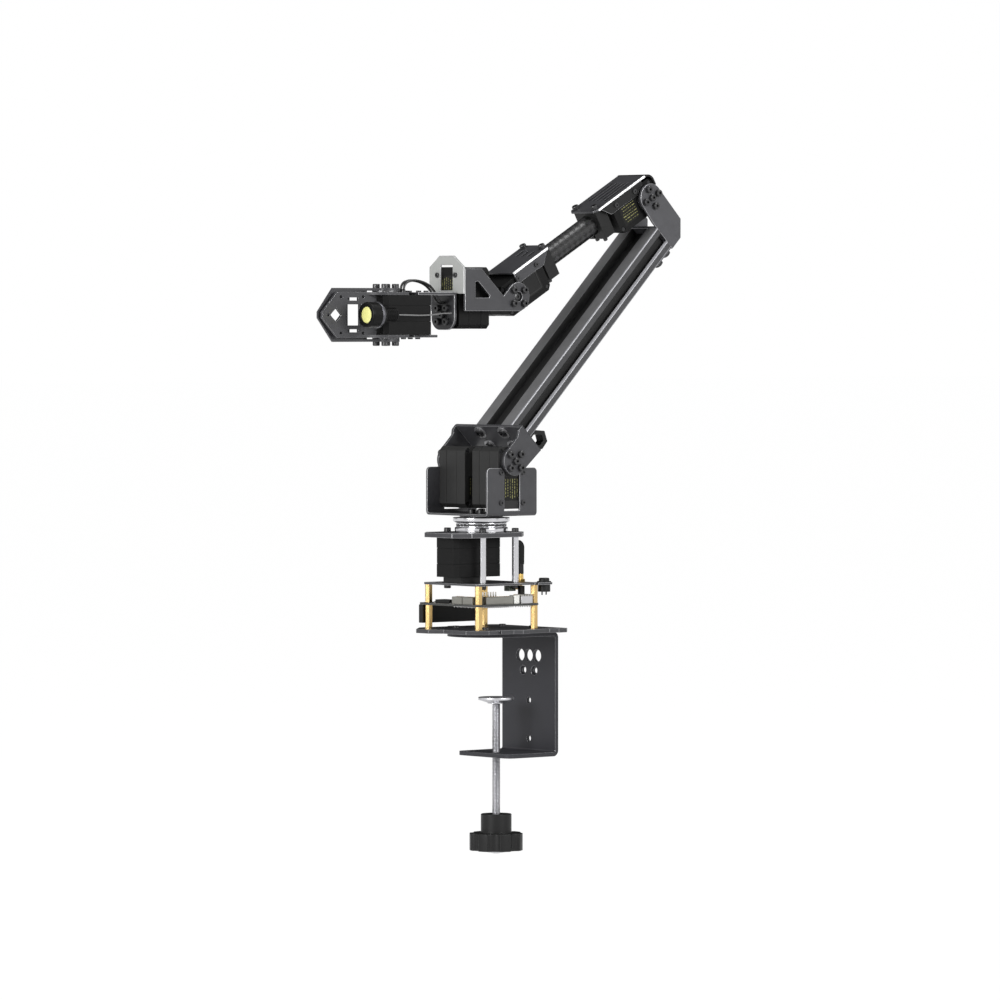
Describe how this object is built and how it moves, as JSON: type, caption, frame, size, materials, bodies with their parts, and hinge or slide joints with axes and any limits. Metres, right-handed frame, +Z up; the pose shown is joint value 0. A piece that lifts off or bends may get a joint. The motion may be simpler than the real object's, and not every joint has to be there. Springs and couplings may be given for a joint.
{
  "type": "desktop robot arm",
  "caption": "Desktop robot arm on a table clamp: turning base on a thrust bearing, shoulder, elbow, pitching and rolling wrist, and a gripper with a small lamp.",
  "frame": {"origin": "on the base's turning axis, at the underside of the clamp's top flange, where it rests on a table", "axes": "+Z up along the base's turning axis, +X forward over the table, +Y to the arm's left"},
  "size_m": [0.3334, 0.0858, 0.5021],
  "materials": {
    "dark_sheet": "satin",
    "beam_metal": "anodised satin",
    "black_sheet": "satin",
    "servo_plastic": "matte",
    "black_plastic": "matte",
    "board": "lacquered board",
    "connector_plastic": "matte",
    "brass": "turned",
    "steel": "ground",
    "zinc": "zinc plated",
    "screw_black": "black oxide",
    "screw_silver": "bright",
    "horn_metal": "black anodised",
    "carbon": "carbon weave",
    "light_plate": "bare satin",
    "lens": "clear yellow",
    "lead": "soft"
  },
  "bodies": {
    "base": {"clamp_bracket": "black_sheet", "base_plate": "dark_sheet", "standoffs": "brass", "control_board": "board", "board_connectors": "connector_plastic", "pin_header": "black_plastic", "deck_plate": "dark_sheet", "power_button_body": "black_plastic", "antenna_connector": "brass", "antenna": "black_plastic", "motor_posts": "steel", "stack_screws": "screw_black", "motor_plate": "dark_sheet", "base_servo": "servo_plastic", "servo_foot": "black_plastic", "bearing_lower_washer": "steel", "bearing_cage": "steel"},
    "pad": {"clamp_pad": "zinc"},
    "screw": {"clamp_screw": "zinc", "clamp_knob": "black_plastic"},
    "button": {"power_button": "black_plastic"},
    "shoulder": {"bearing_upper_washer": "steel", "yaw_hub": "horn_metal", "shoulder_bracket": "dark_sheet", "shoulder_bracket_screws": "screw_black", "shoulder_servo_left": "servo_plastic", "shoulder_servo_right": "servo_plastic"},
    "upper_arm": {"shoulder_horns": "horn_metal", "shoulder_yoke": "dark_sheet", "arm_ear_screws": "screw_black", "beam_bolts": "screw_black", "arm_beam": "beam_metal", "beam_clip": "black_plastic", "elbow_bracket": "dark_sheet", "elbow_horns": "horn_metal"},
    "forearm": {"elbow_servo": "servo_plastic", "forearm_rear_cover": "dark_sheet", "rear_tube_clamp": "black_plastic", "front_tube_clamp": "black_plastic", "forearm_tube": "carbon", "forearm_front_cover": "dark_sheet", "forearm_screws": "screw_black", "wrist_servo": "servo_plastic"},
    "wrist": {"wrist_horns": "horn_metal", "wrist_screws": "screw_black", "wrist_yoke": "dark_sheet", "roll_servo_plate": "light_plate", "roll_servo": "servo_plastic"},
    "gripper": {"roll_horn": "horn_metal", "gripper_frame": "dark_sheet", "gripper_servo": "servo_plastic", "fixed_jaw": "dark_sheet", "gripper_screws": "screw_black", "lamp_housing": "screw_silver", "lamp_lens": "lens", "servo_leads": "lead", "lamp_lead": "lead"},
    "jaw": {"moving_jaw": "dark_sheet", "gripper_horns": "horn_metal", "moving_jaw_screws": "screw_black"}
  },
  "joints": [
    {"name": "base_yaw", "type": "hinge", "parent": "base", "child": "shoulder", "pos_m": [0, 0, 0.089], "axis": [0, 0, 1], "range_deg": [-180, 180]},
    {"name": "shoulder_pitch", "type": "hinge", "parent": "shoulder", "child": "upper_arm", "pos_m": [0, 0, 0.1295], "axis": [0, 1, 0], "range_deg": [-29, 100]},
    {"name": "elbow_pitch", "type": "hinge", "parent": "upper_arm", "child": "forearm", "pos_m": [-0.15052, 0, 0.32397], "axis": [0, -1, 0], "range_deg": [-15, 200]},
    {"name": "wrist_pitch", "type": "hinge", "parent": "forearm", "child": "wrist", "pos_m": [-0.01944, 0, 0.24981], "axis": [0, 1, 0], "range_deg": [-60, 45]},
    {"name": "wrist_roll", "type": "hinge", "parent": "wrist", "child": "gripper", "pos_m": [0.03496, 0, 0.23641], "axis": [1, 0, 0], "range_deg": [-180, 180]},
    {"name": "gripper_open", "type": "hinge", "parent": "gripper", "child": "jaw", "pos_m": [0.09106, 0, 0.23641], "axis": [0, 0, -1], "range_deg": [0, 95]},
    {"name": "knob_turn", "type": "hinge", "parent": "pad", "child": "screw", "pos_m": [-0.0144, 0, -0.06], "axis": [0, 0, 1], "range_deg": [-11520, 13680]},
    {"name": "pad_slide", "type": "slide", "parent": "base", "child": "pad", "axis": [0, 0, 1], "range_m": [-0.0325, 0.0385]},
    {"name": "button_press", "type": "slide", "parent": "base", "child": "button", "axis": [0, 0, -1], "range_m": [0, 0.0012], "stiffness_N_per_m": 800}
  ],
  "couplings": [
    {"joint": "pad_slide", "follows": "knob_turn", "m_per_rad": 0.00015915}
  ]
}
